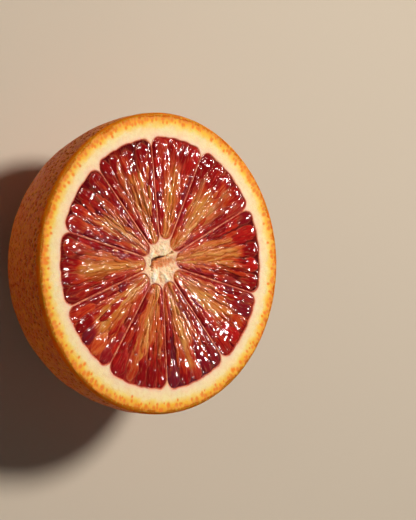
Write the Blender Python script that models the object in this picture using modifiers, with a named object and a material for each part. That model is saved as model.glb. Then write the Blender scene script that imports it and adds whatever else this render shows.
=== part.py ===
"""A blood orange half, cut across the fruit and lying on its dome with the cut face up.

Frame: metres, +Z up. The origin is at the middle of the small flat spot that the dome rests on.
Looking down on the cut face with +Y up, angles run anticlockwise from +X.

The peel is one body of zest, white pith, the core in the middle and the thin membranes that run from
the core to the pith. Ten pockets in it hold the ten segments of pulp, each a separate solid.
"""

import math

import bmesh
import bpy
from mathutils import Matrix, Vector

# Driving sizes
FACE_RADIUS = 0.036  # the cut face, rind included
CUT_OFFSET = 0.00165  # how far above the fruit's middle the knife went through
FLAT_RADIUS = 0.0065  # the flat spot that the fruit rests on
PEEL_THICKNESS = 0.0062  # zest and pith together, at the cut face
POLE_THICKNESS = 0.0075  # the same at the rounded end, where the pith is thicker
MEMBRANE_THICKNESS = 0.0005  # the wall between two pockets
FIT_GAP = 0.0003  # between a segment and its pocket
CORNER_RADIUS = 0.0021  # the outer corners of a pocket, seen on the cut face
SPLIT_LENGTH = 0.0050  # the split in the core
SPLIT_WIDTH = 0.0009
SPLIT_DEPTH = 0.0032
SPLIT_ANGLE_DEG = 22.0

# Where each membrane meets the pith, as an angle on the cut face. Real segments differ in width.
MEMBRANE_ANGLES_DEG = (26.3, 64.4, 95.9, 129.9, 164.3, 199.3, 234.8, 270.8, 307.3, 344.1)
# How far from the middle of the core each pocket's rounded tip starts: the one that ends at each
# membrane above, going anticlockwise.
TIP_DISTANCES = (0.0045, 0.0047, 0.0060, 0.0050, 0.0046, 0.0049, 0.0053, 0.0053, 0.0050, 0.0047)
CORE_OFFSET = Vector((-0.0006, 0.0001))  # the core stands a little off the middle

# The fruit isn't quite round: (waves round the fruit, share of the radius, angle of a crest)
WAVES = ((2, 0.0035, 35.0), (3, 0.0025, 100.0), (5, 0.0012, 10.0))

# How finely the curves are cut up
DOME_STEPS = 64
PROFILE_STEPS = 13
TIP_STEPS = 5
CORNER_STEPS = 4
ARC_STEPS = 4
POCKET_TILTS_DEG = (0.0, 13.0, 26.0, 39.0, 51.0, 62.0, 71.0)
TOP_OVERSHOOT = 0.003  # how far a cutter stands above the cut face

DOME_RADIUS = math.hypot(FACE_RADIUS, CUT_OFFSET)
DOME_DEPTH = DOME_RADIUS + CUT_OFFSET  # down to the rounded end, before the flat spot
FLAT_RISE = DOME_RADIUS - math.sqrt(DOME_RADIUS**2 - FLAT_RADIUS**2)
FACE_HEIGHT = DOME_DEPTH - FLAT_RISE
POCKET_RADIUS = FACE_RADIUS - PEEL_THICKNESS
POCKET_DEPTH = DOME_DEPTH - POLE_THICKNESS

COLOURS = {
    # name: (linear colour, roughness)
    "rind": ((0.78, 0.24, 0.03), 0.45),
    "pulp": ((0.36, 0.03, 0.02), 0.15),
}


def clear_scene():
    """Removes whatever the file holds, so that only the fruit is left."""
    for obj in list(bpy.data.objects):
        bpy.data.objects.remove(obj, do_unlink=True)


def new_collection(name):
    """A collection linked to the scene."""
    collection = bpy.data.collections.new(name)
    bpy.context.scene.collection.children.link(collection)
    return collection


def new_material(name):
    """A plain Principled material in one of the named colours."""
    colour, roughness = COLOURS[name]
    material = bpy.data.materials.new(name)
    material.use_nodes = True
    shader = material.node_tree.nodes["Principled BSDF"]
    shader.inputs["Base Color"].default_value = (*colour, 1.0)
    shader.inputs["Roughness"].default_value = roughness
    shader.inputs["Metallic"].default_value = 0.0
    return material


def new_object(name, mesh_builder, collection, material=None):
    """Turns a bmesh into a named object in a collection, with its faces pointing out."""
    bmesh.ops.recalc_face_normals(mesh_builder, faces=mesh_builder.faces)
    mesh = bpy.data.meshes.new(name)
    mesh_builder.to_mesh(mesh)
    mesh_builder.free()
    obj = bpy.data.objects.new(name, mesh)
    collection.objects.link(obj)
    if material:
        mesh.materials.append(material)
    return obj


def roundness(angle):
    """How far the fruit reaches at this angle, as a share of its mean radius."""
    return 1.0 + sum(share * math.cos(n * (angle - math.radians(crest))) for n, share, crest in WAVES)


def wavy_centre():
    """The middle of the uneven outline's box, which the origin has to stand under."""
    turn = [math.tau * i / DOME_STEPS for i in range(DOME_STEPS)]
    xs = [FACE_RADIUS * roundness(a) * math.cos(a) for a in turn]
    ys = [FACE_RADIUS * roundness(a) * math.sin(a) for a in turn]
    return Vector(((min(xs) + max(xs)) / 2.0, (min(ys) + max(ys)) / 2.0))


def turned_dome(collection):
    """The dome as a turned shape: its profile from the rim down to the flat spot, and a Screw."""
    builder = bmesh.new()
    rim_tilt = math.pi / 2 + math.asin(CUT_OFFSET / DOME_RADIUS)
    flat_tilt = math.asin(FLAT_RADIUS / DOME_RADIUS)
    corners = []
    for i in range(PROFILE_STEPS + 1):
        tilt = rim_tilt + (flat_tilt - rim_tilt) * i / PROFILE_STEPS
        height = FACE_HEIGHT - CUT_OFFSET - DOME_RADIUS * math.cos(tilt)
        corners.append(builder.verts.new((DOME_RADIUS * math.sin(tilt), 0.0, height)))
    for pair in zip(corners, corners[1:]):
        builder.edges.new(pair)
    obj = new_object("dome_profile", builder, collection)
    screw = obj.modifiers.new("turn", "SCREW")
    screw.axis = "Z"
    screw.angle = math.tau
    screw.steps = DOME_STEPS
    screw.render_steps = DOME_STEPS
    screw.use_merge_vertices = True
    screw.merge_threshold = 0.00001
    return obj


def build_whole(collection, material):
    """The solid half fruit: the turned dome, closed by its two flat faces and made a little uneven."""
    profile = turned_dome(collection)
    evaluated = profile.evaluated_get(bpy.context.evaluated_depsgraph_get())
    dome = bpy.data.meshes.new_from_object(evaluated)
    bpy.data.objects.remove(profile, do_unlink=True)
    builder = bmesh.new()
    builder.from_mesh(dome)
    bpy.data.meshes.remove(dome)
    bmesh.ops.holes_fill(builder, edges=builder.edges, sides=0)
    centre = wavy_centre()
    for vertex in builder.verts:
        share = vertex.co.xy.length / FACE_RADIUS
        unevenness = roundness(math.atan2(vertex.co.y, vertex.co.x))
        vertex.co.xy = vertex.co.xy * unevenness - centre * share
    return new_object("peel_and_membranes", builder, collection, material)


def wedge_outline(half_angle, reach, tip, wall, corner):
    """The rounded outline of a segment on one level, symmetric about its own X axis.

    half_angle: half the angle between its two membranes
    reach, tip: distances of its outer arc and of its rounded tip from the middle of the core
    wall: how far its sides stand off the middle of each membrane
    corner: radius of its two outer corners
    """
    tip_centre = (tip - wall) / (1.0 - math.sin(half_angle))
    tip_radius = tip_centre - tip
    corner_centre = reach - corner
    corner_angle = half_angle - math.asin((corner + wall) / corner_centre)
    side = []
    for i in range(TIP_STEPS + 1):
        turn = math.pi - (math.pi / 2 - half_angle) * i / TIP_STEPS
        side.append(Vector((tip_centre + tip_radius * math.cos(turn), tip_radius * math.sin(turn))))
    middle = Vector((corner_centre * math.cos(corner_angle), corner_centre * math.sin(corner_angle)))
    for i in range(CORNER_STEPS + 1):
        start = half_angle + math.pi / 2
        turn = start + (corner_angle - start) * i / CORNER_STEPS
        side.append(middle + corner * Vector((math.cos(turn), math.sin(turn))))
    for i in range(1, ARC_STEPS + 1):
        turn = corner_angle * (1.0 - i / ARC_STEPS)
        side.append(reach * Vector((math.cos(turn), math.sin(turn))))
    mirrored = [Vector((point.x, -point.y)) for point in side[-2:0:-1]]
    return side + mirrored


def wedge(first_deg, last_deg, tip, gap, overshoot):
    """A segment's solid, lofted from the cut face down towards the rounded end of the fruit.

    first_deg, last_deg: the angles of its two membranes, anticlockwise
    tip: where its pocket starts, from the middle of the core
    gap: how much smaller than its pocket it is on every side
    overshoot: how far it stands above the cut face, for a cutter
    """
    ends = []
    for degrees in (first_deg, last_deg):
        angle = math.radians(degrees)
        ends.append(POCKET_RADIUS * Vector((math.cos(angle), math.sin(angle))) - CORE_OFFSET)
    first, last = (math.atan2(end.y, end.x) for end in ends)
    half_angle = (last - first) % math.tau / 2.0
    axis = first + half_angle
    reach = POCKET_RADIUS - CORE_OFFSET.dot(Vector((math.cos(axis), math.sin(axis))))
    levels = [(FACE_HEIGHT + overshoot, 0.0)] if overshoot else []
    levels += [
        (FACE_HEIGHT - (POCKET_DEPTH - gap) * math.sin(math.radians(tilt)), math.radians(tilt))
        for tilt in POCKET_TILTS_DEG
    ]
    turn = Matrix.Rotation(axis, 3, "Z")
    builder = bmesh.new()
    previous = []
    for height, tilt in levels:
        outline = wedge_outline(
            half_angle,
            (reach - gap) * math.cos(tilt),
            tip + gap,
            MEMBRANE_THICKNESS / 2.0 + gap,
            (CORNER_RADIUS - gap) * math.cos(tilt),
        )
        ring = []
        for point in outline:
            place = turn @ point.to_3d() + CORE_OFFSET.to_3d()
            ring.append(builder.verts.new((place.x, place.y, height)))
        edges = [builder.edges.new((ring[i - 1], ring[i])) for i in range(len(ring))]
        if previous:
            bmesh.ops.bridge_loops(builder, edges=previous + edges)
        else:
            builder.faces.new(ring)
        previous = edges
    builder.faces.new(ring)
    return builder


def segments():
    """(number, (first membrane's angle, last one's, tip distance)) of each segment, anticlockwise."""
    for i, tip in enumerate(TIP_DISTANCES):
        yield i + 1, (MEMBRANE_ANGLES_DEG[i - 1], MEMBRANE_ANGLES_DEG[i], tip)


def hide(obj):
    """A cutter isn't part of the fruit."""
    obj.hide_render = True
    obj.display_type = "WIRE"


def build_pocket_cutters(collection):
    """The hollows that the segments of pulp lie in."""
    for number, place in segments():
        builder = wedge(*place, gap=0.0, overshoot=TOP_OVERSHOOT)
        hide(new_object(f"pocket_{number:02d}", builder, collection))


def build_split_cutter(collection):
    """The narrow split that opens in the core where the fruit is cut."""
    builder = bmesh.new()
    bmesh.ops.create_cone(
        builder,
        cap_ends=True,
        segments=12,
        radius1=0.25,
        radius2=0.5,
        depth=2.0,
    )
    size = Matrix.Diagonal((SPLIT_LENGTH, SPLIT_WIDTH, SPLIT_DEPTH))
    turn = Matrix.Rotation(math.radians(SPLIT_ANGLE_DEG), 3, "Z")
    bmesh.ops.transform(builder, matrix=(turn @ size).to_4x4(), verts=builder.verts)
    place = Vector((CORE_OFFSET.x, CORE_OFFSET.y, FACE_HEIGHT))
    bmesh.ops.translate(builder, vec=place, verts=builder.verts)
    hide(new_object("core_split", builder, collection))


def cut_out(obj, cutters):
    """Cuts every solid of a collection out of the object."""
    modifier = obj.modifiers.new("pockets", "BOOLEAN")
    modifier.operation = "DIFFERENCE"
    modifier.operand_type = "COLLECTION"
    modifier.collection = cutters
    modifier.solver = "EXACT"


def main():
    """Builds the half fruit."""
    clear_scene()
    fruit = new_collection("blood_orange_half")
    cutters = new_collection("cutters")
    rind = new_material("rind")
    pulp = new_material("pulp")
    peel = build_whole(fruit, rind)
    build_pocket_cutters(cutters)
    build_split_cutter(cutters)
    cut_out(peel, cutters)
    for number, place in segments():
        builder = wedge(*place, gap=FIT_GAP, overshoot=0.0)
        new_object(f"segment_{number:02d}", builder, fruit, pulp)


main()
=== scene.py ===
"""The looks of a blood orange half that lies on its dome with the cut face up.

Every piece is made in millimetres on the cut face, where +Y is up and angles run anticlockwise from
+X, and is brought to metres in the frame of the solid model when its mesh is finished.
"""

import logging
import math
from dataclasses import dataclass, field
from enum import Enum
from typing import Callable, Iterable, Sequence

import bmesh
import bpy
import numpy as np
from mathutils import Matrix, Vector, noise
from mathutils.geometry import delaunay_2d_cdt
from mathutils.kdtree import KDTree


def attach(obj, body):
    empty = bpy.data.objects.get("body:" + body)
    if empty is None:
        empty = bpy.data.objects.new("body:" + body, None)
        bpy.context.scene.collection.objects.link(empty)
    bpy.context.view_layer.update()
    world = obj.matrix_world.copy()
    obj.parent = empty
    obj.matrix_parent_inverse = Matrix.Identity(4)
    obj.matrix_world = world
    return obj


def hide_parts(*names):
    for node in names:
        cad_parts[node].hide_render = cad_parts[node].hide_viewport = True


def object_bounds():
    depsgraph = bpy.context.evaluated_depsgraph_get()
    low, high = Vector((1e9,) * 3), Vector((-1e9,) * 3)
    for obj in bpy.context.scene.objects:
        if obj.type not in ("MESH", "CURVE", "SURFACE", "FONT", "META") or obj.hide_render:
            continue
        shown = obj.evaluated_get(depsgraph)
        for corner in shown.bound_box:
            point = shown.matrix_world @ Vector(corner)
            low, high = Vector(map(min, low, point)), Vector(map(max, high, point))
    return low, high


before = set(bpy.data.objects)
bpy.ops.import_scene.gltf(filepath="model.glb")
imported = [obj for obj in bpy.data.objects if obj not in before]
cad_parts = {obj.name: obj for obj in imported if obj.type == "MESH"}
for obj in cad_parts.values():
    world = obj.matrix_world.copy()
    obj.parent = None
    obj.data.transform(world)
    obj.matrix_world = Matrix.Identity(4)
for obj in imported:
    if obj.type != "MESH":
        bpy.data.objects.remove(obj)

log = logging.getLogger("blood_orange")

MM = 0.001
ROOT = "root"
CAD_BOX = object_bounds()
FACE_HEIGHT = CAD_BOX[1].z / MM

# Points closer than this are one, and a length that is safe to divide by
MERGE = 1e-5
TINY = 1e-6
# How close to a sheet's edges its inner points come, as a share of their spacing
CLEAR = 0.6

# A colour as it looks on a screen, and what a node's input takes
Colour = tuple[int, int, int]
Socket = bpy.types.NodeSocket
Feed = Socket | float | Sequence[float]


# ---------------------------------------------------------------------------------------------
# Small helpers
# ---------------------------------------------------------------------------------------------


def smoothstep(values: np.ndarray, low: float, high: float) -> np.ndarray:
    """A soft step over an array: 0 up to low and 1 from high on."""
    share = np.clip((values - low) / (high - low), 0.0, 1.0)
    return share * share * (3.0 - 2.0 * share)


def linear(red: int, green: int, blue: int) -> tuple[float, float, float, float]:
    """A colour given as it looks on a screen, turned into the linear colour that a shader takes.

    Args:
        red: red share, 0 to 255.
        green: green share, 0 to 255.
        blue: blue share, 0 to 255.

    Returns:
        The linear colour with full alpha.
    """
    shares = (value / 255.0 for value in (red, green, blue))
    made = [s / 12.92 if s <= 0.04045 else ((s + 0.055) / 1.055) ** 2.4 for s in shares]
    return (made[0], made[1], made[2], 1.0)


def cloudiness(points: np.ndarray, size: float, octaves: int, offset: float) -> np.ndarray:
    """Smooth noise at each point, about -1 to 1, with clouds of that size in millimetres."""
    shifted = points / size + offset
    return np.array([noise.fractal(Vector(p), 1.0, 2.0, octaves) for p in shifted])


def spatial(points: np.ndarray) -> np.ndarray:
    """Flat points with a height of zero."""
    return np.column_stack([points, np.zeros(len(points))])


def mound(
    points: np.ndarray,
    middle: tuple[float, float],
    length: float,
    width: float,
    heading: float,
    steepness: float,
) -> np.ndarray:
    """A soft oval mound.

    Args:
        points: x and y, one row for each point.
        middle: the mound's middle.
        length: half its length.
        width: half its width.
        heading: the direction in which it runs, in radians.
        steepness: how fast it falls away.

    Returns:
        The height over each point, 1 at the mound's middle.
    """
    c, s = math.cos(heading), math.sin(heading)
    x, y = middle
    along = ((points[:, 0] - x) * c + (points[:, 1] - y) * s) / length
    across = ((points[:, 1] - y) * c - (points[:, 0] - x) * s) / width
    return np.exp(-(along**2 + across**2) * steepness)


# ---------------------------------------------------------------------------------------------
# Where things lie on the cut face
# ---------------------------------------------------------------------------------------------


@dataclass(frozen=True)
class FruitPlan:
    """The sizes that all pieces of the fruit share, in millimetres and degrees."""

    face_radius: float = 36.0
    cut_offset: float = 1.65
    pocket_radius: float = 29.8
    pocket_depth: float = 29.9
    membrane: float = 0.5
    rim_round: float = 0.85
    corner_radius: float = 2.1
    core: tuple[float, float] = (-0.6, 0.1)
    membrane_angles: tuple[float, ...] = (
        26.3, 64.4, 95.9, 129.9, 164.3, 199.3, 234.8, 270.8, 307.3, 344.1,
    )
    tip_distances: tuple[float, ...] = (4.5, 4.7, 6.0, 5.0, 4.6, 4.9, 5.3, 5.3, 5.0, 4.7)
    waves: tuple[tuple[int, float, float], ...] = (
        (2, 0.0035, 35.0),
        (3, 0.0025, 100.0),
        (5, 0.0012, 10.0),
    )

    # Points on a turn from which the uneven outline's middle is found
    TURN_STEPS = 64

    @property
    def dome_radius(self) -> float:
        """The radius of the round outside: the knife went a little above the fruit's middle."""
        return math.hypot(self.face_radius, self.cut_offset)

    def rim_drop(self, inset: np.ndarray) -> np.ndarray:
        """How far the rounded rim lies below the cut face, at each distance in from the rind."""
        beyond = np.clip(self.rim_round - inset, 0.0, self.rim_round)
        return self.rim_round - np.sqrt(self.rim_round**2 - beyond**2)

    def roundness(self, angles: np.ndarray) -> np.ndarray:
        """How far the fruit reaches at each angle, as a share of its mean radius."""
        waves = [s * np.cos(n * (angles - math.radians(crest))) for n, s, crest in self.waves]
        return 1.0 + sum(waves)

    def uneven(self, points: np.ndarray) -> np.ndarray:
        """Moves points of a true circle to the fruit's slightly uneven outline.

        Args:
            points: x and y, one row for each point.

        Returns:
            The moved points.
        """
        reach = np.hypot(points[:, 0], points[:, 1])
        turn = np.linspace(0.0, math.tau, self.TURN_STEPS, endpoint=False)
        ring = self.roundness(turn)[:, None] * np.column_stack([np.cos(turn), np.sin(turn)])
        centre = (ring.max(axis=0) + ring.min(axis=0)) / 2.0 * self.face_radius
        share = smoothstep(reach, self.pocket_radius, self.face_radius)[:, None]
        grown = self.roundness(np.arctan2(points[:, 1], points[:, 0]))[:, None]
        return points * (1.0 + (grown - 1.0) * share) - centre * share


@dataclass
class SegmentOutline:
    """The rounded outline of one segment on the cut face, in millimetres.

    Points on the segment are given along its own axes: x outwards from the core, y across.
    """

    plan: FruitPlan
    number: int
    half_angle: float = field(init=False)
    axis: float = field(init=False)
    reach: float = field(init=False)
    tip: float = field(init=False)
    wall: float = field(init=False)
    bulb_angles: np.ndarray = field(init=False)
    bulb_widths: np.ndarray = field(init=False)

    # How far the bulging outer ends stand out, how far apart they are, how unevenly wide, how
    # much of the arc they share, and how tall they are on average
    SCALLOP = 0.30
    BULB_SPACING = 4.1
    BULB_SPREAD = (0.65, 1.35)
    BULB_SPAN = 0.97
    BULB_MEAN = 0.7

    def __post_init__(self) -> None:
        """Works out the outline's sizes from the plan."""
        plan = self.plan
        core = np.array(plan.core)
        ends = []
        for index in (self.number - 2, self.number - 1):
            angle = math.radians(plan.membrane_angles[index])
            ends.append(plan.pocket_radius * np.array([math.cos(angle), math.sin(angle)]) - core)
        first, last = (math.atan2(end[1], end[0]) for end in ends)
        self.half_angle = (last - first) % math.tau / 2.0
        self.axis = first + self.half_angle
        self.reach = plan.pocket_radius - float(core @ [math.cos(self.axis), math.sin(self.axis)])
        self.tip = plan.tip_distances[self.number - 1]
        self.wall = plan.membrane / 2.0
        self._place_bulbs()

    def _place_bulbs(self) -> None:
        """Spaces the bulging outer ends of the juice sacs unevenly along the outer arc."""
        rng = np.random.default_rng(100 + self.number)
        span = 2.0 * self.half_angle * self.reach
        count = int(round(span / self.BULB_SPACING))
        widths = rng.uniform(*self.BULB_SPREAD, count)
        edges = np.concatenate([[0.0], np.cumsum(widths)]) / widths.sum()
        middles = (edges[1:] + edges[:-1]) / 2.0
        self.bulb_angles = (middles * 2.0 - 1.0) * self.half_angle * self.BULB_SPAN
        self.bulb_widths = widths / widths.sum() * span / 2.0

    def to_face(self, local: np.ndarray) -> np.ndarray:
        """Turns points along the segment's axes into points on the cut face."""
        c, s = math.cos(self.axis), math.sin(self.axis)
        return local @ np.array([[c, s], [-s, c]]) + np.array(self.plan.core)

    def to_local(self, points: np.ndarray) -> np.ndarray:
        """Turns points on the cut face into points along the segment's axes."""
        c, s = math.cos(self.axis), math.sin(self.axis)
        return (points - np.array(self.plan.core)) @ np.array([[c, -s], [s, c]])

    def scallop(self, angles: np.ndarray) -> np.ndarray:
        """How far the outer arc stands out at each angle: out at a bulb, in between two."""
        gap = (angles[:, None] - self.bulb_angles[None, :]) * self.reach / self.bulb_widths
        return self.SCALLOP * (np.exp(-(gap**2)).max(axis=1) - self.BULB_MEAN)

    def margin(self, local: np.ndarray) -> np.ndarray:
        """How deep inside the outline each point lies.

        Args:
            local: x and y along the segment's axes, one row for each point.

        Returns:
            The distance to the outline, negative outside it.
        """
        x, y = local[:, 0], np.abs(local[:, 1])
        radius = np.hypot(x, y)
        side = x * math.sin(self.half_angle) - y * math.cos(self.half_angle) - self.wall
        arc = self.reach + self.scallop(np.arctan2(local[:, 1], x)) - radius
        corner = self.plan.corner_radius
        rounded = corner - np.hypot(corner - side, corner - arc)
        inside = np.where((side < corner) & (arc < corner), rounded, np.minimum(side, arc))
        centre = (self.tip - self.wall) / (1.0 - math.sin(self.half_angle))
        cap = (centre - self.tip) - np.hypot(x - centre, y)
        before = x * math.cos(self.half_angle) + y * math.sin(self.half_angle)
        at_tip = before < centre * math.cos(self.half_angle)
        return np.where(at_tip, cap, inside)

    def outline(self, grow: float, step: float) -> np.ndarray:
        """The outline as a closed ring of points.

        Args:
            grow: how far outside the pocket's outline the ring lies.
            step: about how far apart the points are.

        Returns:
            x and y on the cut face, one row for each point, anticlockwise.
        """
        angle, corner, wall = self.half_angle, self.plan.corner_radius + grow, self.wall - grow
        reach, tip = self.reach + grow, self.tip - grow
        tip_centre = (tip - wall) / (1.0 - math.sin(angle))
        corner_centre = reach - corner
        corner_angle = angle - math.asin((corner + wall) / corner_centre)
        start = angle + math.pi / 2.0

        def arc(middle: tuple[float, float], radius: float, begin: float, end: float) -> np.ndarray:
            """Evenly spaced points on an arc."""
            turn = np.linspace(begin, end, max(3, int(abs(radius * (end - begin)) / step)))
            return np.column_stack([np.cos(turn), np.sin(turn)]) * radius + middle

        cap = arc((tip_centre, 0.0), tip_centre - tip, math.pi, start)
        middle = (corner_centre * math.cos(corner_angle), corner_centre * math.sin(corner_angle))
        bend = arc(middle, corner, start, corner_angle)
        count = int(np.hypot(*(bend[0] - cap[-1])) / step)
        straight = cap[-1] + (bend[0] - cap[-1]) * np.linspace(0.0, 1.0, count)[1:-1, None]
        outer = arc((0.0, 0.0), reach, corner_angle, 0.0)
        side = np.concatenate([cap, straight, bend, outer[1:]])
        ring = np.concatenate([side, side[-2:0:-1] * [1.0, -1.0]])
        turn = np.arctan2(ring[:, 1], ring[:, 0])
        radius = np.hypot(ring[:, 0], ring[:, 1])
        near_arc = smoothstep(radius, reach - corner * 0.7, reach)
        ring *= (1.0 + self.scallop(turn) * near_arc / radius)[:, None]
        return self.to_face(ring)[::-1]


# ---------------------------------------------------------------------------------------------
# Meshes
# ---------------------------------------------------------------------------------------------


def fine_sheet(
    loops: Sequence[np.ndarray],
    lattice: np.ndarray,
    keep: Callable[[np.ndarray], np.ndarray],
) -> bmesh.types.BMesh:
    """Fills outlines with small, even triangles.

    Args:
        loops: closed rings of points, x and y in millimetres, that the sheet's edges follow.
        lattice: the points inside, already clear of the rings.
        keep: tells which triangles belong to the sheet, from the middles of all.

    Returns:
        A flat sheet at a height of zero.
    """
    edges = []
    count = 0
    for loop in loops:
        edges += [(count + i, count + (i + 1) % len(loop)) for i in range(len(loop))]
        count += len(loop)
    points = np.concatenate([*loops, lattice])
    filled = delaunay_2d_cdt([Vector(p) for p in points], edges, [], 0, MERGE)
    corners = np.array([v[:] for v in filled[0]])
    triangles = np.array(filled[2])
    triangles = triangles[keep(corners[triangles].mean(axis=1))]
    sheet = bmesh.new()
    made = [sheet.verts.new((x, y, 0.0)) for x, y in corners]
    for a, b, c in triangles:
        sheet.faces.new((made[a], made[b], made[c]))
    loose = [v for v in sheet.verts if not v.link_faces]
    bmesh.ops.delete(sheet, geom=loose, context="VERTS")
    return sheet


def honeycomb(reach: float, spacing: float, seed: int) -> np.ndarray:
    """A jittered lattice of points over a square, spaced like a honeycomb.

    Args:
        reach: half the square's width.
        spacing: how far apart the points are.
        seed: fixes the jitter.

    Returns:
        x and y, one row for each point.
    """
    rng = np.random.default_rng(seed)
    row = np.arange(-reach, reach, spacing)
    lift = spacing * math.sqrt(3.0) / 2.0
    rows = np.arange(-reach, reach, lift)
    x, y = np.meshgrid(row, rows)
    x[1::2] += spacing / 2.0
    points = np.column_stack([x.ravel(), y.ravel()])
    return points + rng.uniform(-0.12, 0.12, points.shape) * spacing


def positions(mesh: bpy.types.Mesh) -> np.ndarray:
    """Where the mesh's vertices are.

    Args:
        mesh: the mesh to read.

    Returns:
        x, y and z, one row for each vertex.
    """
    flat = np.empty(len(mesh.vertices) * 3)
    mesh.vertices.foreach_get("co", flat)
    return flat.reshape(-1, 3)


def on_top(places: np.ndarray) -> np.ndarray:
    """Which vertices are still on the sheet that their mesh began as."""
    return places[:, 2] > -0.01


def set_positions(mesh: bpy.types.Mesh, places: np.ndarray) -> None:
    """Moves the mesh's vertices."""
    mesh.vertices.foreach_set("co", places.ravel())
    mesh.update()


def add_measure(mesh: bpy.types.Mesh, name: str, values: np.ndarray) -> None:
    """Stores a number for each vertex, for the finishes to read."""
    layer = mesh.attributes.new(name, "FLOAT", "POINT")
    layer.data.foreach_set("value", np.ascontiguousarray(values, dtype=np.float32))


def mesh_from(builder: bmesh.types.BMesh, name: str) -> bpy.types.Mesh:
    """Ends a bmesh: turns its faces outwards, shades them smoothly and makes a mesh.

    Args:
        builder: the bmesh, which is freed.
        name: the mesh's name.

    Returns:
        The new mesh.
    """
    bmesh.ops.recalc_face_normals(builder, faces=builder.faces)
    for face in builder.faces:
        face.smooth = True
    mesh = bpy.data.meshes.new(name)
    builder.to_mesh(mesh)
    builder.free()
    return mesh


def add_piece(
    name: str,
    mesh: bpy.types.Mesh,
    material: bpy.types.Material,
    nodes: Iterable[str] = (),
) -> bpy.types.Object:
    """Puts a finished mesh into the scene as a piece of the fruit.

    Args:
        name: the piece's name.
        mesh: its mesh, in metres.
        material: its finish.
        nodes: the solids that it stands for.

    Returns:
        The new object.
    """
    mesh.materials.append(material)
    piece = bpy.data.objects.new(name, mesh)
    bpy.context.scene.collection.objects.link(piece)
    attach(piece, ROOT)
    if nodes:
        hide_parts(*nodes)
    log.info("%s: %d vertices, %d faces", name, len(mesh.vertices), len(mesh.polygons))
    return piece


# ---------------------------------------------------------------------------------------------
# Finishes
# ---------------------------------------------------------------------------------------------


class NodeKit:
    """Short ways to add nodes to one material or node group."""

    def __init__(self, tree: bpy.types.NodeTree) -> None:
        """Keeps the tree that nodes are added to."""
        self.tree = tree

    def add(self, kind: str, settings: dict | None = None, **inputs: Feed) -> bpy.types.Node:
        """Adds a node.

        Args:
            kind: the node's type, without its ShaderNode prefix.
            settings: attributes to set on the node.
            **inputs: values or sockets for its inputs, by name, with underscores for spaces.

        Returns:
            The new node.
        """
        node = self.tree.nodes.new(f"ShaderNode{kind}")
        for key, value in (settings or {}).items():
            setattr(node, key, value)
        for key, value in inputs.items():
            self.feed(node.inputs[key.replace("_", " ")], value)
        return node

    def feed(self, socket: Socket, value: Feed) -> None:
        """Links a socket to another, or sets its value.

        Args:
            socket: the input to feed.
            value: an output to link it to, or what to set it to.
        """
        if isinstance(value, Socket):
            self.tree.links.new(value, socket)
        else:
            socket.default_value = value

    def math(self, operation: str, first: Feed, second: Feed) -> Socket:
        """A Math node's result.

        Args:
            operation: what the node does, in its own capitals.
            first: its first number.
            second: its second number.

        Returns:
            The result.
        """
        node = self.add("Math", {"operation": operation})
        self.feed(node.inputs[0], first)
        self.feed(node.inputs[1], second)
        return node.outputs[0]

    def step(
        self, value: Feed, low: float, high: float, start: float = 0.0, end: float = 1.0
    ) -> Socket:
        """A smooth step.

        Args:
            value: what is measured.
            low: where the step starts.
            high: where the step ends.
            start: the result up to low.
            end: the result from high on.

        Returns:
            The step's height.
        """
        node = self.add("MapRange", {"interpolation_type": "SMOOTHSTEP"})
        for index, given in enumerate((value, low, high, start, end)):
            self.feed(node.inputs[index], given)
        return node.outputs[0]

    def ramp(self, value: Feed, stops: dict[float, Colour]) -> Socket:
        """A colour that changes with a value.

        Args:
            value: what is measured, 0 to 1.
            stops: the colour at each of a few places.

        Returns:
            The colour.
        """
        node = self.add("ValToRGB")
        elements = node.color_ramp.elements
        while len(elements) < len(stops):
            elements.new(0.5)
        for element, (place, colour) in zip(elements, stops.items()):
            element.position = place
            element.color = linear(*colour)
        self.feed(node.inputs[0], value)
        return node.outputs[0]

    def mix(self, share: Feed, under: Socket, over: Socket | Colour) -> Socket:
        """One colour over another.

        Args:
            share: how much of the upper colour shows.
            under: the lower colour.
            over: the upper colour.

        Returns:
            The mixed colour.
        """
        node = self.add("Mix", {"data_type": "RGBA"})
        self.feed(node.inputs[0], share)
        self.feed(node.inputs[6], under)
        self.feed(node.inputs[7], over if isinstance(over, Socket) else linear(*over))
        return node.outputs[2]

    def measure(self, name: str) -> Socket:
        """A number stored on the mesh."""
        return self.add("Attribute", {"attribute_name": name}).outputs["Fac"]

    def clouds(self, place: Socket, scale: Feed, detail: float, roughness: float = 0.5) -> Socket:
        """Soft noise, 0 to 1."""
        node = self.add("TexNoise", Vector=place, Scale=scale, Detail=detail, Roughness=roughness)
        return node.outputs["Fac"]

    def group(self, tree: bpy.types.NodeTree, **inputs: Feed) -> bpy.types.Node:
        """A node that stands for a whole node group."""
        return self.add("Group", {"node_tree": tree}, **inputs)


def new_finish(name: str) -> tuple[bpy.types.Material, NodeKit, bpy.types.Node]:
    """A new material.

    Args:
        name: the material's name.

    Returns:
        The material, its node kit and its Principled shader.
    """
    material = bpy.data.materials.new(name)
    material.use_nodes = True
    kit = NodeKit(material.node_tree)
    return material, kit, material.node_tree.nodes["Principled BSDF"]


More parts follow.
